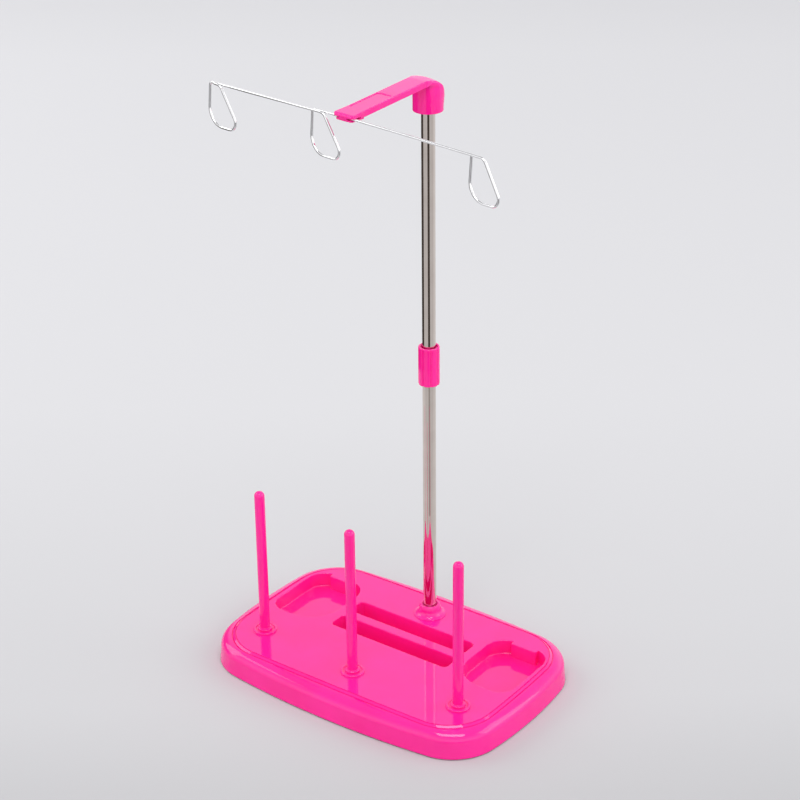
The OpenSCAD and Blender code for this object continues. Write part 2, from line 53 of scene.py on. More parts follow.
# Two fine grooves that only the scene has. The first is given by its distance out from the crease
# and its height from the shoulder, the second by its inset and its height from the deck's edge.
CREASE_GROOVE = ((0.95, -0.02), (0.68, -0.85), (0.26, -0.85))
EDGE_GROOVE = ((0.05 - STEP_RUN, 0.06 - STEP_H), (-0.48, -0.32), (-0.32, -0.20),
               (-0.14, -0.80), (0.20, -0.80), (0.42, -0.06), (0.55, 0.0))

# Trays. Their fillet is smaller than in the part's source: the photo has no highlight there.
# The radii are those of the front outer, back outer, back inner and front inner corner.
TRAY_IN, TRAY_OUT, TRAY_FRONT, TRAY_BACK = 58.7, 105.3, -10.0, 52.3
TRAY_DEPTH, TRAY_FILLET, TRAY_MOUTH_R = 11.2, 1.1, 0.7
TRAY_RADII = (12.0, 15.0, 17.0, 24.0)
LUG_IN, LUG_OUT, LUG_D, LUG_R = 72.0, 93.0, 4.0, 0.8
LUG_TOP_EDGE = ((0.0, -0.5), (0.06, -0.3), (0.2, -0.1), (0.5, 0.0))

# Slots
SLOT_L, SLOT_W, SLOT_R = 102.4, 15.0, 3.5
SLOT_FRONT, SLOT_LAND = 2.5, 8.0
SLOT_DEPTH, SLOT_FILLET, SLOT_MOUTH_R = 17.6, 1.2, 0.6

# Spool pins, and their seats on the deck
PIN_D, PIN_H = 7.5, 115.0
PIN_SPACING, PIN_Y, PIN_MID_Y = 85.5, -39.0, -46.3
SPIGOT_D, SPIGOT_L, SPIGOT_GAP = 6.4, 12.0, 0.5
COLLAR_D, COLLAR_H = 10.3, 1.9
SEAT_D, SEAT_H, SEAT_RING = 17.2, 1.5, 1.7

# Mast: its boss on the base, its tubes and their coupling
TUBE_D, TUBE_WALL, TUBE_FOOT_Z, MAST_Y = 9.5, 0.7, 4.4, 49.0
BOSS_H, BOSS_TOP_D, BOSS_FOOT_D = 8.5, 14.3, 23.7
BOSS_FOOT_H, BOSS_TAPER, BOSS_FLARE = 0.8, 0.8, 0.62
COUP_Z, COUP_H, COUP_D = 209.6, 28.9, 15.1
RIBS, RIB_DEPTH, FURROW_SHARE = 8, 0.7, 0.34
STOP_T, MOUTH_D, MOUTH_H, MOUTH_EDGE = 1.2, 11.7, 2.6, 0.45

# Guide arm: socket, elbow and bar, the sunk panel, and the slit with its catch
SOCKET_Z, SOCKET_D, SOCKET_EDGE = 409.5, 20.7, 0.45
ELBOW_H, ROLL_R, INNER_R, ROOF = 23.6, 20.0, 1.0, 10.0
ARM_TURN, ARM_REACH, ARM_FALL = -5.3, 83.0, 5.4
ARM_W, ARM_TIP_W, ARM_T, ARM_EDGE = 15.6, 16.8, 4.4, 0.6
PANEL_START, PANEL_L, PANEL_DEPTH, PANEL_BORDER = 42.0, 31.0, 0.5, 1.5
SLIT_L, SLIT_H, CATCH_W = 8.0, 1.4, 6.6
JAW_RAMP, JAW_T, JAW_LAP, JAW_INSET = 4.5, 1.3, 0.2, 0.6
NOSE_R, CROWN = 2.4, 1.3
ROUND = 0.99            # corner radius of a round section, as a share of its half width
NARROWING = 0.55        # share of the elbow's height over which it narrows to the bar

# Wire guide
WIRE_D, WIRE_Z, WIRE_BACK, WIRE_GAP = 1.8, 425.0, 2.6, 0.3
LOOPS = (-119.4, -28.2, 101.6)
LOOP_REACHES = (30.0, 30.0, 27.4)
LOOP_TOP_W, LOOP_DROP = 11.2, 28.7
LOOP_BENDS = (5.0, 5.5, 12.5, 2.4)
SAG, SAG_BEND, LEAN = 1.9, 20.0, 4.0

# Feet, and the clearance of pushed-in pieces
FOOT_D, FOOT_T = 12.0, 2.8
FOOT_X, FOOT_FRONT, FOOT_BACK = 88.1, 58.0, 61.9
FIT = 0.05

# Levels and places that follow
DECK_Z = RIM_Z + DECK_H
BED_Z = DECK_Z - WALL / 2
SHOULDER_Z = DECK_Z - STEP_H
SHOULDER_W = (BASE_W - DECK_W) / 2 - STEP_RUN
POCKET_WALL = WALL * 0.8
TRAY_FLOOR = DECK_Z - TRAY_DEPTH
SLOT_FLOOR = DECK_Z - SLOT_DEPTH
SLOT_BACK = SLOT_FRONT + SLOT_W + SLOT_LAND
SEAT_Z = DECK_Z + SEAT_H
WELL_D = SEAT_D - 2 * SEAT_RING
PIN_FOOT = SEAT_Z - SEAT_H / 2
PIN_TOP = DECK_Z + PIN_H
PIN_BOSS_D = SPIGOT_D + 2 * WALL + 1.4
BOSS_Z = DECK_Z + BOSS_H
STOP_Z = COUP_Z + (COUP_H - STOP_T) / 2
ARM_TOP = SOCKET_Z + ELBOW_H
TUBE_TOP = ARM_TOP - ROOF
ELBOW_R = SOCKET_D / 2
ARM_SLOPE = ARM_FALL / (ARM_REACH - ELBOW_R)
JAW_START = ARM_REACH - SLIT_L - JAW_RAMP
WIRE_Y = ARM_REACH - WIRE_BACK
TURN_SIN, TURN_COS = math.sin(math.radians(ARM_TURN)), math.cos(math.radians(ARM_TURN))
# puts the middle of the whole footprint at x = 0, from the wire's left loop to the base's right
BASE_X = -(WIRE_Y * TURN_SIN + (LOOPS[0] - WIRE_D / 2) * TURN_COS + BASE_L / 2) / 2
MAST = (BASE_X, MAST_Y)
PINS = {"left": (-PIN_SPACING + BASE_X, PIN_Y),
        "middle": (BASE_X, PIN_MID_Y),
        "right": (PIN_SPACING + BASE_X, PIN_Y)}
FEET = {"front_left": (-FOOT_X + BASE_X, -FOOT_FRONT),
        "front_right": (FOOT_X + BASE_X, -FOOT_FRONT),
        "back_left": (-FOOT_X + BASE_X, FOOT_BACK),
        "back_right": (FOOT_X + BASE_X, FOOT_BACK)}

# The camera, as solved from the photo; its place is measured from the base's middle at the rim
CAM_LENS, CAM_SENSOR = 94.5, 36.0
CAM_YAW, CAM_PITCH, CAM_ROLL = 36.11, 26.07, -0.60
CAM_PLACE = (766.2, -1036.2, 845.8)

cam_data = bpy.data.cameras.new("camera")
cam = bpy.data.objects.new("camera", cam_data)
scene.collection.objects.link(cam)
scene.camera = cam
cam_data.lens, cam_data.sensor_width = CAM_LENS, CAM_SENSOR
cam_data.clip_start, cam_data.clip_end = 0.05, 60.0
yaw, pitch, roll = (math.radians(a) for a in (CAM_YAW, CAM_PITCH, CAM_ROLL))
back = Vector((math.sin(yaw) * math.cos(pitch), -math.cos(yaw) * math.cos(pitch), math.sin(pitch)))
right = Vector((math.cos(yaw), math.sin(yaw), 0.0))
up = back.cross(right)
side = right * math.cos(roll) + up * math.sin(roll)
top = up * math.cos(roll) - right * math.sin(roll)
place = Vector((CAM_PLACE[0] + BASE_X, CAM_PLACE[1], CAM_PLACE[2] + RIM_Z)) * MM
cam.matrix_world = Matrix((
    (side.x, top.x, back.x, place.x),
    (side.y, top.y, back.y, place.y),
    (side.z, top.z, back.z, place.z),
    (0, 0, 0, 1)))


def bearing(degrees):
    """A level direction, turned by this angle from the camera's side towards the camera's left."""
    a = math.radians(degrees)
    to_camera = Vector((math.sin(yaw), -math.cos(yaw), 0.0))
    return to_camera * math.cos(a) - right * math.sin(a)


# Materials

def set_inputs(node, values):
    for name, value in values.items():
        node.inputs[name].default_value = value
    return node


def material(name):
    m = bpy.data.materials.new(name)
    m.use_nodes = True
    nt = m.node_tree
    nt.nodes.clear()
    out = nt.nodes.new("ShaderNodeOutputMaterial")
    bsdf = nt.nodes.new("ShaderNodeBsdfPrincipled")
    nt.links.new(bsdf.outputs["BSDF"], out.inputs["Surface"])
    return m, nt, bsdf


def coords(nt, scale=(1, 1, 1)):
    tc = nt.nodes.new("ShaderNodeTexCoord")
    mapping = set_inputs(nt.nodes.new("ShaderNodeMapping"), {"Scale": scale})
    nt.links.new(tc.outputs["Object"], mapping.inputs["Vector"])
    return mapping.outputs["Vector"]


def noise(nt, vec, scale, detail, rough):
    n = set_inputs(nt.nodes.new("ShaderNodeTexNoise"),
                   {"Scale": scale, "Detail": detail, "Roughness": rough})
    nt.links.new(vec, n.inputs["Vector"])
    return n.outputs["Fac"]


def ramp(nt, fac, stops):
    r = nt.nodes.new("ShaderNodeValToRGB")
    elements = r.color_ramp.elements
    while len(elements) < len(stops):
        elements.new(0.5)
    for element, (position, colour) in zip(elements, stops):
        element.position = position
        element.color = (*colour, 1.0)
    nt.links.new(fac, r.inputs["Fac"])
    return r.outputs["Color"]


def spread(nt, noise_out, low, high):
    """Maps a noise, which mostly stays between 0.3 and 0.7, to the range from low to high."""
    r = set_inputs(nt.nodes.new("ShaderNodeMapRange"),
                   {"From Min": 0.3, "From Max": 0.7, "To Min": low, "To Max": high})
    nt.links.new(noise_out, r.inputs["Value"])
    return r.outputs["Result"]


def bump(nt, bsdf, *layers):
    normal = None
    for height, distance, strength in layers:
        b = set_inputs(nt.nodes.new("ShaderNodeBump"),
                       {"Distance": distance, "Strength": strength})
        nt.links.new(height, b.inputs["Height"])
        if normal is not None:
            nt.links.new(normal, b.inputs["Normal"])
        normal = b.outputs["Normal"]
    nt.links.new(normal, bsdf.inputs["Normal"])


def pink_plastic(name):
    deep, light = (0.95, 0.009, 0.28), (1.0, 0.013, 0.318)
    m, nt, p = material(name)
    v = coords(nt)
    cloud = noise(nt, v, 22.0, 3.0, 0.55)
    nt.links.new(ramp(nt, cloud, [(0.35, deep), (0.65, light)]), p.inputs["Base Color"])
    rubbed = noise(nt, v, 60.0, 5.0, 0.65)
    nt.links.new(spread(nt, rubbed, 0.028, 0.055), p.inputs["Roughness"])
    wave = noise(nt, v, 55.0, 1.0, 0.4)
    grain = noise(nt, v, 900.0, 2.0, 0.5)
    bump(nt, p, (wave, 0.00016, 0.13), (grain, 0.000006, 0.2))
    set_inputs(p, {"IOR": 1.5, "Specular IOR Level": 0.55, "Subsurface Weight": 0.12,
                   "Subsurface Radius": (1.0, 0.18, 0.35), "Subsurface Scale": 0.0015})
    return m


def plated(name, colour, dark, rough, along):
    """Bright plated metal, with polishing marks stretched by the scale along."""
    m, nt, p = material(name)
    v = coords(nt)
    lines = noise(nt, coords(nt, along), 1.0, 4.0, 0.6)
    smear = noise(nt, v, 90.0, 4.0, 0.6)
    nt.links.new(ramp(nt, smear, [(0.3, dark), (0.7, colour)]), p.inputs["Base Color"])
    nt.links.new(spread(nt, lines, *rough), p.inputs["Roughness"])
    bump(nt, p, (lines, 0.000004, 0.16))
    set_inputs(p, {"Metallic": 1.0})
    return m


def rubber(name):
    clean, dusty = (0.010, 0.010, 0.011), (0.030, 0.029, 0.030)
    m, nt, p = material(name)
    v = coords(nt)
    dust = noise(nt, v, 260.0, 4.0, 0.6)
    nt.links.new(ramp(nt, dust, [(0.3, clean), (0.75, dusty)]), p.inputs["Base Color"])
    nt.links.new(spread(nt, dust, 0.62, 0.82), p.inputs["Roughness"])
    bump(nt, p, (noise(nt, v, 1500.0, 2.0, 0.5), 0.00004, 0.5))
    return m


PINK = pink_plastic("pink_moulded_plastic")
TUBE = plated("nickel_plated_tube", (0.74, 0.665, 0.61), (0.68, 0.605, 0.55),
              (0.02, 0.04), (2600.0, 2600.0, 18.0))
WIRE = plated("chrome_plated_wire", (0.90, 0.90, 0.91), (0.82, 0.82, 0.83),
              (0.04, 0.09), (900.0, 900.0, 900.0))
RUBBER = rubber("black_rubber")


# Meshes; all lengths are in mm until new_object

def new_object(name, verts, faces, mat):
    me = bpy.data.meshes.new(name)
    me.from_pydata([(x * MM, y * MM, z * MM) for x, y, z in verts], [], faces)
    me.update()
    ob = bpy.data.objects.new(name, me)
    scene.collection.objects.link(ob)
    if mat is not None:
        me.materials.append(mat)
    bm = bmesh.new()
    bm.from_mesh(me)
    bmesh.ops.recalc_face_normals(bm, faces=bm.faces)
    bm.to_mesh(me)
    bm.free()
    return ob


def smooth(ob, angle):
    ob.data.shade_smooth()
    ob.data.set_sharp_from_angle(angle=math.radians(angle))
    w = ob.modifiers.new("normals", "WEIGHTED_NORMAL")
    w.mode = "FACE_AREA"
    w.weight = 50
    w.keep_sharp = True


def boolean(ob, other, operation):
    """Joins other to ob or cuts it from ob, and removes other."""
    mod = ob.modifiers.new("boolean", "BOOLEAN")
    mod.operation = operation
    mod.object = other
    mod.solver = "EXACT"
    dg = bpy.context.evaluated_depsgraph_get()
    me = bpy.data.meshes.new_from_object(ob.evaluated_get(dg))
    ob.modifiers.clear()
    old, ob.data = ob.data, me
    bpy.data.meshes.remove(old)
    gone = other.data
    bpy.data.objects.remove(other)
    bpy.data.meshes.remove(gone)


def join(ob, other):
    boolean(ob, other, "UNION")


def cut(ob, other):
    boolean(ob, other, "DIFFERENCE")


def finish_piece(ob, body, slot, *nodes):
    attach(ob, body)
    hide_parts(*nodes)


def arc(centre, r, start, end, steps):
    angles = [math.radians(start + (end - start) * i / steps) for i in range(steps + 1)]
    return [(centre[0] + r * math.cos(a), centre[1] + r * math.sin(a)) for a in angles]


def apart(pts):
    """Drops each point of a closed loop that lies on the next one."""
    following = pts[1:] + pts[:1]
    return [p for p, q in zip(pts, following) if math.hypot(p[0] - q[0], p[1] - q[1]) > 0.001]


def bowed(size):
    """An outline with bowed sides: size is its length, width, the bows of its long and short
    sides, and its corner radius."""
    side_steps, corner_steps = 22, 36
    length, width, bow_long, bow_short, r = size
    a, b = length / 2, width / 2
    long_r = (a * a + bow_long * bow_long) / (2 * bow_long)
    short_r = (b * b + bow_short * bow_short) / (2 * bow_short)
    short_x, long_y = a - short_r, b - long_r
    # the corner's centre, closing in on the place where its arc touches both sides
    px, py = a - r, b - r
    for _ in range(14):
        px = short_x + math.sqrt((short_r - r) ** 2 - py * py)
        py = long_y + math.sqrt((long_r - r) ** 2 - px * px)
    from_short = math.degrees(math.atan2(py, px - short_x))
    to_long = math.degrees(math.atan2(py - long_y, px))
    quarter = (arc((short_x, 0), short_r, 0, from_short, side_steps)
               + arc((px, py), r, from_short, to_long, corner_steps)
               + arc((0, long_y), long_r, to_long, 90, side_steps))
    return apart(quarter + [(-x, y) for x, y in reversed(quarter)]
                 + [(-x, -y) for x, y in quarter] + [(x, -y) for x, y in reversed(quarter)])


def shrink(size, inset):
    return [size[0] - 2 * inset, size[1] - 2 * inset, size[2], size[3], size[4] - inset]


def level(pts, z):
    """Puts an outline that is drawn about the base's middle at height z."""
    return [(x + BASE_X, y, z) for x, y in pts]


def offset(pts, d):
    """Moves the edges of a closed outline inwards by d, or its corners outwards by -d."""
    following = pts[1:] + pts[:1]
    area = sum(p[0] * q[1] - q[0] * p[1] for p, q in zip(pts, following))
    turn = 1.0 if area > 0 else -1.0
    out = []
    for i, (p, q) in enumerate(zip(pts, following)):
        a, b, c = Vector(pts[i - 1]), Vector(p), Vector(q)
        u, v = (b - a).normalized(), (c - b).normalized()
        before, after = Vector((-u.y, u.x)) * turn, Vector((-v.y, v.x)) * turn
        middle = (before + after).normalized()
        reach = d / middle.dot(before) if d > 0 else d
        out.append(tuple(b + middle * reach))
    return out


def rounded(points, steps=4):
    """Rounds the corners of a closed outline: points are (x, y) for a sharp corner, or
    (x, y, radius)."""
    out = []
    for i, p in enumerate(points):
        if len(p) < 3:
            out.append(p)
            continue
        a, b = Vector(points[i - 1][:2]), Vector(p[:2])
        c = Vector(points[(i + 1) % len(points)][:2])
        u, v = (a - b).normalized(), (c - b).normalized()
        half = math.acos(u.dot(v)) / 2
        reach = min(p[2] / math.tan(half), (a - b).length * 0.45, (c - b).length * 0.45)
        r = reach * math.tan(half)
        mid = b + (u + v).normalized() * (r / math.sin(half))
        x, end = (b + u * reach - mid).normalized(), b + v * reach - mid
        sweep = math.acos(max(-1, min(1, x.dot(end.normalized()))))
        y = (end - x * end.dot(x)).normalized()
        for k in range(steps + 1):
            t = sweep * k / steps
            q = mid + (x * math.cos(t) + y * math.sin(t)) * r
            out.append((q.x, q.y))
    return out


def loft(name, rings, mat=None):
    """A skin over closed rings of equally many points, with flat ends."""
    n = len(rings[0])
    verts = [p for ring in rings for p in ring]
    faces = []
    for low in range(0, len(verts) - n, n):
        for i in range(n):
            j = (i + 1) % n
            faces.append((low + i, low + j, low + n + j, low + n + i))
    faces.append(tuple(range(n - 1, -1, -1)))
    faces.append(tuple(range(len(verts) - n, len(verts))))
    return new_object(name, verts, faces, mat)


def revolve(name, profile, centre, segs=96, mat=None):
    """profile is a closed loop of (radius, height) that may touch the axis but not cross it."""
    verts, faces, rows = [], [], []
    for r, z in profile:
        count = 1 if r < 1e-6 else segs
        rows.append(range(len(verts), len(verts) + count))
        verts += [(centre[0] + r * math.cos(2 * math.pi * i / segs),
                   centre[1] + r * math.sin(2 * math.pi * i / segs), z) for i in range(count)]
    for k, a in enumerate(rows):
        b = rows[(k + 1) % len(rows)]
        if len(a) == 1 and len(b) == 1:
            continue
        for i in range(segs):
            j = (i + 1) % segs
            corners = (a[i % len(a)], a[j % len(a)], b[j % len(b)], b[i % len(b)])
            faces.append(tuple(dict.fromkeys(corners)))
    return new_object(name, verts, faces, mat)


def post(name, r, z0, z1, centre, segs=96):
    return revolve(name, [(0, z0), (r, z0), (r, z1), (0, z1)], centre, segs)


def prism(name, outline, heights):
    return loft(name, [[(x, y, z) for x, y in outline] for z in heights])


# Base shell

RIM = [BASE_L, BASE_W, BASE_BOW_LONG, BASE_BOW_SHORT, BASE_R]
DECK = [DECK_L, DECK_W, DECK_BOW_LONG, DECK_BOW_SHORT, DECK_R]
STEP = shrink(DECK, -STEP_RUN)


def shoulder(inset):
    """The outline that lies this far in from the rim, on the way to the step."""
    t = inset / SHOULDER_W
    return [a + (b - a) * t for a, b in zip(RIM, STEP)]


def shell_rings(grooved):
    """Outlines and heights of the outside, from the rim up to the deck."""
    rings = [(shoulder(RIM_EDGE), RIM_Z), (shoulder(0.0), RIM_Z + RIM_EDGE)]
    wall_h = SHOULDER_Z - ROLL_H - RIM_Z - RIM_EDGE
    rings += [(shoulder(WALL_LEAN * k / 4), RIM_Z + RIM_EDGE + wall_h * k / 4) for k in (1, 2, 3)]
    for degrees in range(0, 82, 3):
        a = math.radians(degrees)
        inset = WALL_LEAN + (SHOULDER_W - WALL_LEAN) * (1 - math.cos(a))
        rings.append((shoulder(inset), SHOULDER_Z - ROLL_H * (1 - math.sin(a))))
    if grooved:
        rings += [(shoulder(SHOULDER_W - i), SHOULDER_Z + z) for i, z in CREASE_GROOVE]
        rings += [(shrink(DECK, i), DECK_Z + z) for i, z in EDGE_GROOVE]
    else:
        rings += [(shoulder(SHOULDER_W - 0.1), SHOULDER_Z),
                  (shrink(DECK, -0.2), DECK_Z - 0.1), (shrink(DECK, 0.3), DECK_Z)]
    return rings


def tray_outline(inset, side):
    x0, x1 = TRAY_IN + inset, TRAY_OUT - inset
    y0, y1 = TRAY_FRONT + inset, TRAY_BACK - inset
    front_out, back_out, back_in, front_in = (r - inset for r in TRAY_RADII)
    pts = (arc((x1 - front_out, y0 + front_out), front_out, -90, 0, 20)
           + arc((x1 - back_out, y1 - back_out), back_out, 0, 90, 20)
           + arc((x0 + back_in, y1 - back_in), back_in, 90, 180, 20)
           + arc((x0 + front_in, y0 + front_in), front_in, 180, 270, 20))
    return [(side * x, y) for x, y in pts]


def slot_outline(inset, y):
    r = SLOT_R - inset
    x, dy = SLOT_L / 2 - inset - r, SLOT_W / 2 - inset - r
    return (arc((x, y - dy), r, -90, 0, 12) + arc((x, y + dy), r, 0, 90, 12)
            + arc((-x, y + dy), r, 90, 180, 12) + arc((-x, y - dy), r, 180, 270, 12))


def fillet(r, floor, step):
    """Insets and heights of a pocket's fillet, from its floor up to its wall."""
    angles = [math.radians(a) for a in range(0, 91, step)]
    return [(r * (1 - math.sin(a)), floor + r * (1 - math.cos(a))) for a in angles]


def mouth(r):
    """Insets and heights of a pocket's rounded mouth, from its wall up to above the deck."""
    angles = [math.radians(a) for a in range(0, 91, 18)]
    return ([(-r * (1 - math.cos(a)), DECK_Z - r + r * math.sin(a)) for a in angles]
            + [(-r - 1.0, DECK_Z + 2.0)])


def lug(side):
    """The straight lug on a tray's back wall, with a softened top edge."""
    front, back = TRAY_BACK - LUG_D, TRAY_BACK + 4
    outline = rounded([(LUG_IN, back, LUG_R), (LUG_OUT, back, LUG_R),
                       (LUG_OUT, front, LUG_R), (LUG_IN, front, LUG_R)], 5)
    cx, cy = (LUG_IN + LUG_OUT) / 2, TRAY_BACK + 0.5
    rings = []
    for inset, z in ((0.0, TRAY_FLOOR - 1 - DECK_Z),) + LUG_TOP_EDGE:
        sx, sy = 1 - inset / ((LUG_OUT - LUG_IN) / 2), 1 - inset / (LUG_D + 0.5)
        pts = [(side * (cx + (x - cx) * sx), cy + (y - cy) * sy) for x, y in outline]
        rings.append(level(pts, DECK_Z + z))
    return loft("lug", rings)


def tray_cutter(side):
    rows = fillet(TRAY_FILLET, TRAY_FLOOR, 6) + mouth(TRAY_MOUTH_R)
    cutter = loft("tray_cutter", [level(tray_outline(i, side), z) for i, z in rows])
    cut(cutter, lug(side))
    return cutter


def slot_cutter(y):
    rows = fillet(SLOT_FILLET, SLOT_FLOOR, 15) + mouth(SLOT_MOUTH_R)
    return loft("slot_cutter", [level(slot_outline(i, y), z) for i, z in rows])


def boss_profile():
    """The mast's boss: a low foot, a concave flare and a slightly tapered top."""
    foot_r, foot_z = BOSS_FOOT_D / 2, DECK_Z + BOSS_FOOT_H
    run = (BOSS_FOOT_D - BOSS_TOP_D) / 2 - BOSS_TAPER
    rise = BOSS_H * BOSS_FLARE
    angles = [math.radians(a) for a in range(6, 91, 6)]
    flare = [(foot_r - run * math.sin(a), foot_z + rise * (1 - math.cos(a))) for a in angles]
    return rounded([(0, BED_Z), (foot_r, BED_Z), (foot_r, foot_z, 0.35)] + flare
                   + [(BOSS_TOP_D / 2 - 0.05, BOSS_Z, 0.8), (0, BOSS_Z)], 5)


def seat_profile():
    return rounded([(0, BED_Z), (SEAT_D / 2, BED_Z), (SEAT_D / 2, SEAT_Z, 0.6),
                    (WELL_D / 2 + 0.1, SEAT_Z, 0.4), (WELL_D / 2 - 0.2, PIN_FOOT, 0.25),
                    (0, PIN_FOOT)], 5)


def base_shell():
    shell = loft("base_moulding", [level(bowed(s), z) for s, z in shell_rings(True)], PINK)
    inner = [(shrink(shoulder(0), WALL), RIM_Z - 1)]
    inner += [(shrink(s, WALL), z - WALL) for s, z in shell_rings(False) if z > RIM_Z + 4]
    cut(shell, loft("inside", [level(bowed(s), z) for s, z in inner]))

    # what stands below and on the deck
    for side in (-1, 1):
        wall = tray_outline(-POCKET_WALL, side)
        heights = (TRAY_FLOOR - POCKET_WALL, BED_Z)
        join(shell, loft("tray_block", [level(wall, z) for z in heights]))
    for y in (SLOT_FRONT, SLOT_BACK):
        wall = slot_outline(-POCKET_WALL, y)
        heights = (SLOT_FLOOR - POCKET_WALL, BED_Z)
        join(shell, loft("slot_block", [level(wall, z) for z in heights]))
    bore_z = PIN_FOOT - SPIGOT_L - SPIGOT_GAP
    pin_boss = rounded([(0, bore_z - WALL), (PIN_BOSS_D / 2, bore_z - WALL, 0.3),
                        (PIN_BOSS_D / 2, BED_Z), (0, BED_Z)])
    for pin in PINS.values():
        join(shell, revolve("pin_boss", pin_boss, pin, 64))
        join(shell, revolve("pin_seat", seat_profile(), pin))
    join(shell, post("mast_post", TUBE_D / 2 + WALL, TUBE_FOOT_Z - WALL, BED_Z, MAST, 64))
    join(shell, revolve("mast_boss", boss_profile(), MAST, 128))
    for foot in FEET.values():
        join(shell, post("pad", (FOOT_D + WALL) / 2, FOOT_T, SHOULDER_Z - POCKET_WALL, foot, 64))

    # what is sunk into it
    for side in (-1, 1):
        cut(shell, tray_cutter(side))
    for y in (SLOT_FRONT, SLOT_BACK):
        cut(shell, slot_cutter(y))
    for pin in PINS.values():
        cut(shell, post("bore", SPIGOT_D / 2 + FIT, bore_z, SEAT_Z + 2, pin, 64))
    r = TUBE_D / 2 + FIT
    mast_bore = [(0, TUBE_FOOT_Z), (r, TUBE_FOOT_Z), (r, BOSS_Z - 1.4), (r + 0.9, BOSS_Z - 0.5),
                 (r + 1.0, BOSS_Z + 2), (0, BOSS_Z + 2)]
    cut(shell, revolve("mast_bore", mast_bore, MAST))
    smooth(shell, 35.0)
    finish_piece(shell, "base", "pink_plastic", "base_shell")


# Spool pins, mast and feet

def spool_pin(name, pin):
    r = PIN_D / 2
    angles = [math.radians(a) for a in range(0, 90, 5)]
    dome = [(r * math.cos(a), PIN_TOP - r * (1 - math.sin(a))) for a in angles]
    spigot_z, collar_z = PIN_FOOT - SPIGOT_L, PIN_FOOT + COLLAR_H
    profile = rounded([(0, spigot_z), (SPIGOT_D / 2, spigot_z, 0.5), (SPIGOT_D / 2, PIN_FOOT),
                       (COLLAR_D / 2, PIN_FOOT, 0.15), (COLLAR_D / 2, collar_z, 0.6),
                       (r, collar_z, 0.35)] + dome + [(0, PIN_TOP)], 5)
    ob = revolve("spool_pin_%s_moulding" % name, profile, pin, 96, PINK)
    smooth(ob, 40.0)
    finish_piece(ob, "pin_" + name, "pink_plastic", "spool_pin_" + name)


def tube(name, z0, z1, body, node):
    r0, r1 = TUBE_D / 2 - TUBE_WALL, TUBE_D / 2
    profile = rounded([(r1, z0, 0.2), (r1, z1, 0.2), (r0, z1, 0.15), (r0, z0, 0.15)], 3)
    ob = revolve(name, profile, MAST, 128, TUBE)
    smooth(ob, 50.0)
    finish_piece(ob, body, "plated_tube", node)


def coupling_ring(z, inset):
    pts = []
    count = RIBS * 24
    for i in range(count):
        a = 2 * math.pi * i / count
        rib = (a * RIBS / (2 * math.pi)) % 1.0
        from_furrow = 1 - abs(rib - 0.5) * 2
        dip = RIB_DEPTH * max(0.0, 1 - from_furrow / FURROW_SHARE) ** 1.25
        r = COUP_D / 2 - inset - dip
        pts.append((MAST[0] + r * math.cos(a), MAST[1] + r * math.sin(a), z))
    return pts


def coupling():
    """A sleeve with ribs and furrows along its whole height, and softened ends."""
    top_z = COUP_Z + COUP_H
    rows = [(COUP_Z, 0.55), (COUP_Z + 0.12, 0.25), (COUP_Z + 0.4, 0.05), (COUP_Z + 0.8, 0)]
    rows += [(COUP_Z + COUP_H * k / 6, 0) for k in (1, 2, 3, 4, 5)]
    rows += [(top_z - 0.9, 0), (top_z - 0.45, 0.06), (top_z - 0.14, 0.3), (top_z, 0.65)]
    ob = loft("coupling_moulding", [coupling_ring(z, inset) for z, inset in rows], PINK)
    r, mouth_r = TUBE_D / 2 + FIT, MOUTH_D / 2
    cut(ob, post("low_bore", r, COUP_Z - 2, STOP_Z, MAST))
    mouth_z = top_z - MOUTH_H
    high_bore = rounded([(0, STOP_Z + STOP_T), (r, STOP_Z + STOP_T), (r, mouth_z, 0.2),
                         (mouth_r, mouth_z, 0.4), (mouth_r, top_z - MOUTH_EDGE, 0.3),
                         (mouth_r + MOUTH_EDGE, top_z, 0.3), (mouth_r + MOUTH_EDGE, top_z + 2),
                         (0, top_z + 2)])
    cut(ob, revolve("high_bore", high_bore, MAST))
    smooth(ob, 40.0)
    finish_piece(ob, "base", "pink_plastic", "tube_coupling")


def rubber_foot(name, foot):
    r = FOOT_D / 2
    profile = rounded([(0, 0), (r - 1.4, 0), (r - 0.5, 0, 0.6), (r, FOOT_T, 0.3), (0, FOOT_T)])
    ob = revolve("foot_%s_pad" % name, profile, foot, 64, RUBBER)
    smooth(ob, 45.0)
    finish_piece(ob, "base", "foot_rubber", "foot_" + name)


# Guide arm, drawn along x from the mast and then turned to its place

def bar_top(x):
    """Height of the bar's top at distance x from the mast."""
    return ARM_TOP - ARM_SLOPE * (x - ELBOW_R)


def turned_ring(pivot, angle, a0, a1, half, inner, outer, crown=0.0):
    """A ring in the plane that turns about a cross line through pivot. It runs from a0 to a1
    along the plane, and its inner and outer corners are quarter ellipses of the given radii
    (along the plane, across the arm). Its outer side bulges by crown in the middle."""
    steps = 9
    dx, dz = math.cos(math.radians(angle)), math.sin(math.radians(angle))
    ring = []
    for (ra, rb), side, first, end in ((inner, 1, 180, a0), (outer, 1, 90, a1),
                                       (outer, -1, 0, a1), (inner, -1, -90, a0)):
        centre = end + ra if end == a0 else end - ra
        for i in range(steps + 1):
            q = math.radians(first - 90.0 * i / steps)
            u = centre + ra * math.cos(q)
            v = side * (half - rb) + rb * math.sin(q)
            ring.append((pivot[0] + u * dx, v, pivot[1] + u * dz))
        if side == 1 and end == a1:
            for i in range(1, 8):
                v = (half - rb) * (1 - i / 4)
                u = a1 + crown * (1 - (v / half) ** 2)
                ring.append((pivot[0] + u * dx, v, pivot[1] + u * dz))
    return ring


def bar_ring(x, half, z0, z1, r):
    return turned_ring((x, 0.0), 90, z0, z1, half, (r, r), (r, r))


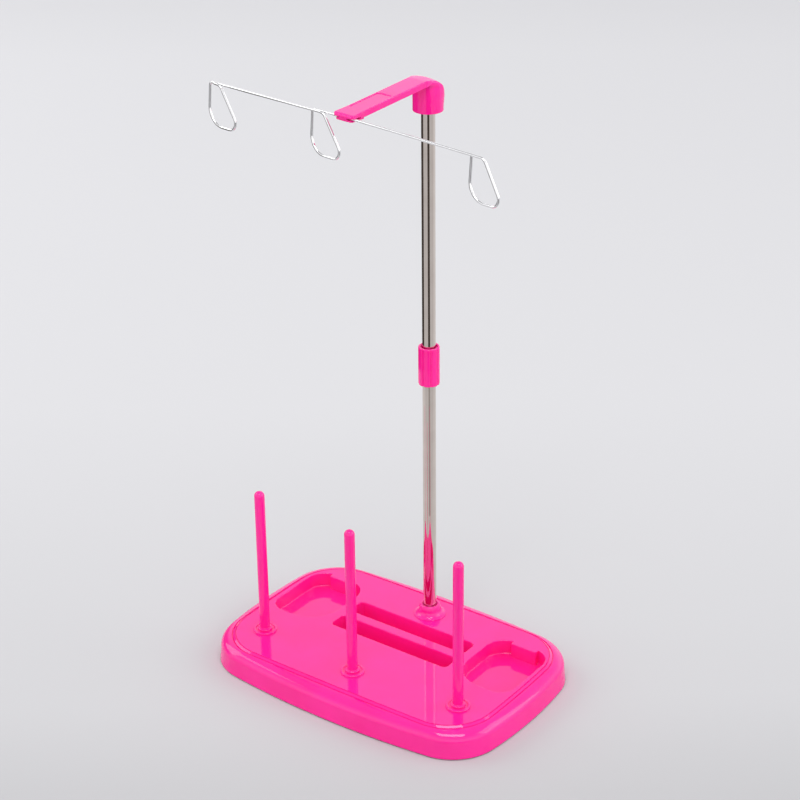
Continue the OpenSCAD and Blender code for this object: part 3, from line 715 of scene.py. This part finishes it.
def roll_back(z):
    """Where the back of the elbow is at height z."""
    dz = z - (ARM_TOP - ROLL_R)
    if dz <= 0:
        return -ELBOW_R
    return (ROLL_R - ELBOW_R) - math.sqrt(max(0.0, ROLL_R ** 2 - dz * dz))


def roll_reach(pivot, angle):
    """Distance from pivot to the elbow's outside in the plane at angle."""
    dx, dz = math.cos(math.radians(angle)), math.sin(math.radians(angle))
    cx, cz = pivot[0] - (ROLL_R - ELBOW_R), pivot[1] - (ARM_TOP - ROLL_R)
    h = dx * cx + dz * cz
    t = -h + math.sqrt(h * h - (cx * cx + cz * cz - ROLL_R ** 2))
    if pivot[0] + t * dx > ROLL_R - ELBOW_R:
        t = (bar_top(pivot[0]) - pivot[1]) / dz
    return t


def arm_body():
    """The whole arm as one skin: up the socket, over the elbow's roll and along the bar."""
    pivot = (ELBOW_R + INNER_R, ARM_TOP - ARM_T - INNER_R)
    full = ROUND * ELBOW_R
    rings = []

    # the socket's softened lower edge
    for dz, inset in ((0.0, SOCKET_EDGE), (0.05, 0.27), (0.17, 0.12), (SOCKET_EDGE, 0.0)):
        r = ELBOW_R - inset
        corner = (ROUND * r, ROUND * r)
        rings.append(turned_ring((ELBOW_R, SOCKET_Z + dz), 180, inset, 2 * ELBOW_R - inset,
                                 r, corner, corner))

    # the socket, and the elbow up to the height of the pivot
    steps = 24
    start, narrow_h = SOCKET_Z + SOCKET_EDGE, ELBOW_H * NARROWING
    for k in range(1, steps + 1):
        z = start + (pivot[1] - start) * k / steps
        back = roll_back(z)
        flat = math.sqrt(max(0.0, ELBOW_R ** 2 - back * back))
        h = max(0.0, z - (ARM_TOP - narrow_h)) / narrow_h
        half = ELBOW_R - (ELBOW_R - ARM_W / 2) * (1 - math.sqrt(1 - h * h))
        outer_a = max(2.0, -back * ROUND)
        outer_b = max(0.9, half - flat * 0.95) if flat > 0 else full
        crown = min(CROWN * (k / steps) ** 2, (back + ELBOW_R) * 0.5)
        rings.append(turned_ring((ELBOW_R, z), 180, 0.0, ELBOW_R - back, half,
                                 (full, min(full, half * ROUND)),
                                 (outer_a, min(outer_b, half * ROUND)), crown))

    # the roll, a fan of rings about the pivot that ends as the bar's section
    first_half = half
    steps = 16
    for k in range(1, steps + 1):
        t = k / steps
        angle = 180 - 90 * t
        reach = roll_reach(pivot, angle)
        ease = t * t * (3 - 2 * t)
        half = first_half + (ARM_W / 2 - first_half) * ease
        outer = [ARM_EDGE + (r - ARM_EDGE) * (1 - ease) ** 3 for r in (outer_a, outer_b)]
        inner = [ARM_EDGE + (r - ARM_EDGE) * (1 - ease) ** 2 for r in (full, first_half * ROUND)]
        room = (ARM_TOP - 0.03 - pivot[1]) / math.sin(math.radians(angle)) - reach
        crown = min(CROWN, max(0.0, room)) if k < steps else 0.0
        squeeze = min(1.0, 0.98 * (reach - INNER_R) / (outer[0] + inner[0]))
        rings.append(turned_ring(pivot, angle, INNER_R, reach, half,
                                 (inner[0] * squeeze, inner[1]),
                                 (outer[0] * squeeze, outer[1]), crown))

    # the bar, the ramp down to the jaw, and the rounded front edge
    w, tip_w = ARM_W / 2, ARM_TIP_W / 2
    jaw_z, nose_x = WIRE_Z - JAW_LAP, ARM_REACH - NOSE_R
    for x in (13.0, 17.0, 24.0, 33.0, 42.0, 52.0, 62.0, JAW_START):
        rings.append(bar_ring(x, w, bar_top(x) - ARM_T, bar_top(x), ARM_EDGE))
    drop = bar_top(JAW_START) - ARM_T - jaw_z
    for k in range(1, 7):
        t = k / 6
        x = JAW_START + (nose_x - JAW_START) * t
        rings.append(bar_ring(x, w + (tip_w - w) * t, jaw_z + drop * (1 - t) ** 0.7,
                              bar_top(x), ARM_EDGE - 0.1 * t))
    for degrees in range(15, 91, 15):
        a = math.radians(degrees)
        rings.append(bar_ring(nose_x + NOSE_R * math.sin(a), tip_w - 2.0 * (1 - math.cos(a)),
                              jaw_z, bar_top(nose_x) - 1.5 * (1 - math.cos(a)),
                              0.5 - 0.15 * math.sin(a)))
    return loft("guide_arm_moulding", rings, PINK)


def lower_jaw():
    x0, x1, w = JAW_START, ARM_REACH - JAW_INSET, ARM_W / 2 - JAW_INSET
    outline = rounded([(x0, -w, 0.5), (x1, -w, 2.2), (x1, w, 2.2), (x0, w, 0.5)], 6)
    z0 = WIRE_Z - SLIT_H / 2 - JAW_T
    rows = ((0.5, z0), (0.15, z0 + 0.15), (0.0, z0 + 0.5), (0.0, WIRE_Z))
    return loft("jaw", [[(x, y, z) for x, y in offset(outline, i)] for i, z in rows])


def slit_cutter():
    """The slit between the jaws, less the catch that holds the wire in it."""
    x0, x1, catch_x = ARM_REACH - SLIT_L, ARM_REACH + 3, WIRE_Y + WIRE_D / 2 + FIT
    slit = prism("slit", [(x0, -20), (x1, -20), (x1, 20), (x0, 20)],
                 (WIRE_Z - SLIT_H / 2, WIRE_Z + SLIT_H / 2))
    w = CATCH_W / 2
    cut(slit, prism("catch", [(catch_x, -w), (x1 + 2, -w), (x1 + 2, w), (catch_x, w)],
                    (WIRE_Z - SLIT_H, WIRE_Z + SLIT_H / 2 - 0.1)))
    return slit


def panel_cutter():
    """The shallow panel on the bar's top; its front end is the rounder one."""
    x0, x1, w = PANEL_START - ELBOW_R, PANEL_START + PANEL_L - ELBOW_R, ARM_W / 2 - PANEL_BORDER
    outline = rounded([(x0, -w, 2.0), (x1, -w, 5.0), (x1, w, 5.0), (x0, w, 2.0)], 10)
    rows = ((0.35, -PANEL_DEPTH), (0.1, -PANEL_DEPTH + 0.12), (0.0, -PANEL_DEPTH + 0.35),
            (-0.12, -0.05), (-0.4, 0.02), (-0.4, 2.0))
    panel = loft("panel", [[(x, y, z) for x, y in offset(outline, i)] for i, z in rows])
    panel.data.transform(Matrix.Translation((ELBOW_R * MM, 0, ARM_TOP * MM))
                         @ Matrix.Rotation(math.atan(ARM_SLOPE), 4, "Y"))
    return panel


def guide_arm():
    arm = arm_body()
    join(arm, lower_jaw())
    r = TUBE_D / 2 + FIT
    bore = [(0, SOCKET_Z - 2), (r + 0.5, SOCKET_Z - 2), (r + 0.5, SOCKET_Z), (r, SOCKET_Z + 0.5),
            (r, TUBE_TOP), (0, TUBE_TOP)]
    cut(arm, revolve("bore", bore, (0, 0)))
    cut(arm, slit_cutter())
    groove = post("groove", WIRE_D / 2 + FIT, -20, 20, (0, 0), 32)
    groove.data.transform(Matrix.Translation((WIRE_Y * MM, 0, WIRE_Z * MM))
                          @ Matrix.Rotation(math.radians(90), 4, "X"))
    cut(arm, groove)
    cut(arm, panel_cutter())
    arm.data.transform(Matrix.Translation((BASE_X * MM, MAST_Y * MM, 0))
                       @ Matrix.Rotation(math.radians(ARM_TURN - 90), 4, "Z"))
    smooth(arm, 35.0)
    finish_piece(arm, "arm", "pink_plastic", "guide_arm")


# Wire guide, drawn about the place where the arm holds it

def wire_corners():
    """The corners of the wire's path, each with the radius of its bend."""
    pitch = WIRE_D + WIRE_GAP
    corners = [((LOOPS[0] + LOOP_TOP_W / 2, -2 * pitch, 0.4), 0)]
    for k, x in enumerate(LOOPS):
        y, z = (k - 2) * pitch, -SAG if k == 2 else 0.0
        loop = zip([(x + LOOP_TOP_W, y, z),
                    (x + LOOP_REACHES[k], y + pitch * 0.3, z - LOOP_DROP),
                    (x, y + pitch * 0.7, z - LOOP_DROP),
                    (x, y + pitch, z)], LOOP_BENDS)
        if k == 2:
            corners.append(((ARM_TIP_W / 2 + 1, 0, 0), SAG_BEND))
        corners += loop
    corners[-1] = ((LOOPS[2], pitch, -SAG - 0.6), 0)
    return [(Vector(p), r) for p, r in corners]


def wire_path():
    steps = 16
    corners = wire_corners()
    path = [corners[0][0]]
    for (a, _), (b, r), (c, _) in zip(corners, corners[1:], corners[2:]):
        u, v = (a - b).normalized(), (c - b).normalized()
        half = math.acos(u.dot(v)) / 2
        reach = r / math.tan(half)
        mid = b + (u + v).normalized() * (r / math.sin(half))
        x, end = (b + u * reach - mid).normalized(), (b + v * reach - mid).normalized()
        sweep = math.acos(x.dot(end))
        y = (end - x * x.dot(end)).normalized()
        for k in range(steps + 1):
            t = sweep * k / steps
            path.append(mid + (x * math.cos(t) + y * math.sin(t)) * r)
    return path + [corners[-1][0]]


def wire_ring(centre, heading, r):
    sides = 20
    across = heading.cross(Vector((0, 1, 0))).normalized()
    other = heading.cross(across)
    angles = [2 * math.pi * k / sides for k in range(sides)]
    return [tuple(centre + (across * math.cos(a) + other * math.sin(a)) * r) for a in angles]


def wire():
    path = wire_path()
    runs = [(b - a).normalized() for a, b in zip(path, path[1:])]
    r = WIRE_D / 2
    softened = ((0.0, r - 0.35), (0.12, r - 0.12), (0.35, r))
    rings = [wire_ring(path[0] + runs[0] * d, runs[0], end_r) for d, end_r in softened]
    rings += [wire_ring(p, (a + b).normalized(), r) for p, a, b in zip(path[1:], runs, runs[1:])]
    rings += [wire_ring(path[-1] - runs[-1] * d, runs[-1], end_r)
              for d, end_r in reversed(softened)]
    ob = loft("thread_guide_wire", rings, WIRE)
    ob.data.transform(Matrix.Translation((BASE_X * MM, MAST_Y * MM, 0))
                      @ Matrix.Rotation(math.radians(ARM_TURN), 4, "Z")
                      @ Matrix.Translation((0, -WIRE_Y * MM, WIRE_Z * MM))
                      @ Matrix.Rotation(math.radians(-LEAN), 4, "X"))
    smooth(ob, 60.0)
    finish_piece(ob, "guide", "chrome_wire", "thread_guide")


base_shell()
for pin_name, pin_place in PINS.items():
    spool_pin(pin_name, pin_place)
tube("lower_tube_plated", TUBE_FOOT_Z, STOP_Z, "base", "lower_tube")
tube("upper_tube_plated", STOP_Z + STOP_T, TUBE_TOP, "mast", "upper_tube")
coupling()
for foot_name, foot_place in FEET.items():
    rubber_foot(foot_name, foot_place)
guide_arm()
wire()


# Floor, cards, lights and world; all lengths are in metres from here

def plane(name, corners, mat):
    me = bpy.data.meshes.new(name)
    me.from_pydata(corners, [], [tuple(range(len(corners)))])
    me.update()
    ob = bpy.data.objects.new(name, me)
    scene.collection.objects.link(ob)
    me.materials.append(mat)
    return ob


def floor_material():
    """A pale matt sweep whose colour is painted lighter towards the back of the room and darker in
    front of the stand: painted shade and painted light that stand in for the lamps' fall-off across
    the floor.
    """
    m, nt, p = material("studio_floor")
    v = coords(nt)
    along = nt.nodes.new("ShaderNodeVectorMath")
    along.operation = "DOT_PRODUCT"
    nt.links.new(v, along.inputs[0])
    along.inputs[1].default_value = bearing(180.0)
    shift = nt.nodes.new("ShaderNodeMath")
    shift.operation = "MULTIPLY_ADD"
    nt.links.new(noise(nt, v, 1.4, 2.0, 0.5), shift.inputs[0])
    shift.inputs[1].default_value = 0.04
    nt.links.new(along.outputs["Value"], shift.inputs[2])
    far = set_inputs(nt.nodes.new("ShaderNodeMapRange"), {"From Min": -2.15, "From Max": 1.85})
    nt.links.new(shift.outputs[0], far.inputs["Value"])
    # painted shade and light: the floor's colour darkens in front of the stand and lightens behind
    # it, in place of the lamps' fall-off
    painted_shade_tones = ((0.0, 0.70), (0.35, 0.505), (0.50, 0.503), (0.53, 0.577), (0.65, 0.668),
             (0.925, 0.760))
    stops = [(at, (tone, tone * 0.998, tone * 1.021)) for at, tone in painted_shade_tones]
    nt.links.new(ramp(nt, far.outputs["Result"], stops), p.inputs["Base Color"])
    set_inputs(p, {"Roughness": 0.8, "Specular IOR Level": 0.0})
    return m


def card(name, centre, half, near, far, tone):
    """A dark card on the floor that only reflections see. It is a sector about the mast: the
    bearing of its middle and half its angle in degrees, and its near and far radius."""
    m, nt, p = material(name + "_black")
    set_inputs(p, {"Base Color": (*tone, 1), "Specular IOR Level": 0.0, "Roughness": 0.9})
    origin = Vector((BASE_X * MM, MAST_Y * MM, 0.002))
    steps = 8
    angles = [centre - half + 2 * half * i / steps for i in range(steps + 1)]
    ring = [tuple(origin + bearing(a) * near) for a in angles]
    ring += [tuple(origin + bearing(a) * far) for a in reversed(angles)]
    ob = plane(name, ring, m)
    ob.visible_camera = False
    ob.visible_diffuse = False
    ob.visible_shadow = False


def softbox(name, loc, target, size_x, size_y, power):
    d = bpy.data.lights.new(name, "AREA")
    d.shape = "RECTANGLE"
    d.size, d.size_y = size_x, size_y
    d.energy = power
    ob = bpy.data.objects.new(name, d)
    scene.collection.objects.link(ob)
    ob.location = loc
    ob.rotation_mode = "QUATERNION"
    ob.rotation_quaternion = (Vector(target) - Vector(loc)).to_track_quat("-Z", "Y")
    ob.visible_camera = False


def studio_world():
    """A bright band near the horizon under a darker ceiling, with a dark zone at the back left
    that the tubes reflect as a stripe."""
    world = bpy.data.worlds.new("studio")
    scene.world = world
    world.use_nodes = True
    nt = world.node_tree
    nt.nodes.clear()
    out = nt.nodes.new("ShaderNodeOutputWorld")
    background = set_inputs(nt.nodes.new("ShaderNodeBackground"), {"Strength": 1.25})
    direction = nt.nodes.new("ShaderNodeTexCoord").outputs["Generated"]
    xyz = nt.nodes.new("ShaderNodeSeparateXYZ")
    nt.links.new(direction, xyz.inputs["Vector"])
    sky = ramp(nt, xyz.outputs["Z"], [(0.0, (1.0, 1.0, 1.0)), (0.36, (1.0, 1.0, 1.0)),
                                      (0.52, (0.72, 0.72, 0.735)), (0.62, (0.66, 0.66, 0.675)),
                                      (0.76, (0.42, 0.42, 0.43)), (1.0, (0.42, 0.42, 0.43))])
    towards = nt.nodes.new("ShaderNodeVectorMath")
    towards.operation = "DOT_PRODUCT"
    nt.links.new(direction, towards.inputs[0])
    towards.inputs[1].default_value = bearing(132.0)
    zone = ramp(nt, towards.outputs["Value"], [(0.80, (1.0, 1.0, 1.0)), (0.90, (0.16, 0.16, 0.17))])
    dimmed = nt.nodes.new("ShaderNodeVectorMath")
    dimmed.operation = "MULTIPLY"
    nt.links.new(sky, dimmed.inputs[0])
    nt.links.new(zone, dimmed.inputs[1])
    nt.links.new(dimmed.outputs["Vector"], background.inputs["Color"])
    nt.links.new(background.outputs["Background"], out.inputs["Surface"])


plane("studio_floor", [(-9, -9, 0), (9, -9, 0), (9, 9, 0), (-9, 9, 0)], floor_material())
card("card_front", -2.0, 17.0, 0.47, 6.0, (0.055, 0.047, 0.043))
card("card_left", 125.0, 38.0, 0.47, 6.0, (0.055, 0.047, 0.043))
card("card_near", -2.0, 13.0, 0.19, 0.47, (0.30, 0.29, 0.285))
softbox("softbox_front_top", (0.55, -0.75, 2.3), (0, 0, 0.05), 1.5, 0.9, 21.0)
softbox("softbox_left", (-2.3, -0.5, 1.5), (0, 0, 0.15), 1.8, 1.8, 18.0)
softbox("softbox_right", (2.0, 1.2, 1.5), (0, 0, 0.15), 1.8, 1.8, 15.0)
studio_world()
scene.view_settings.view_transform = "Standard"
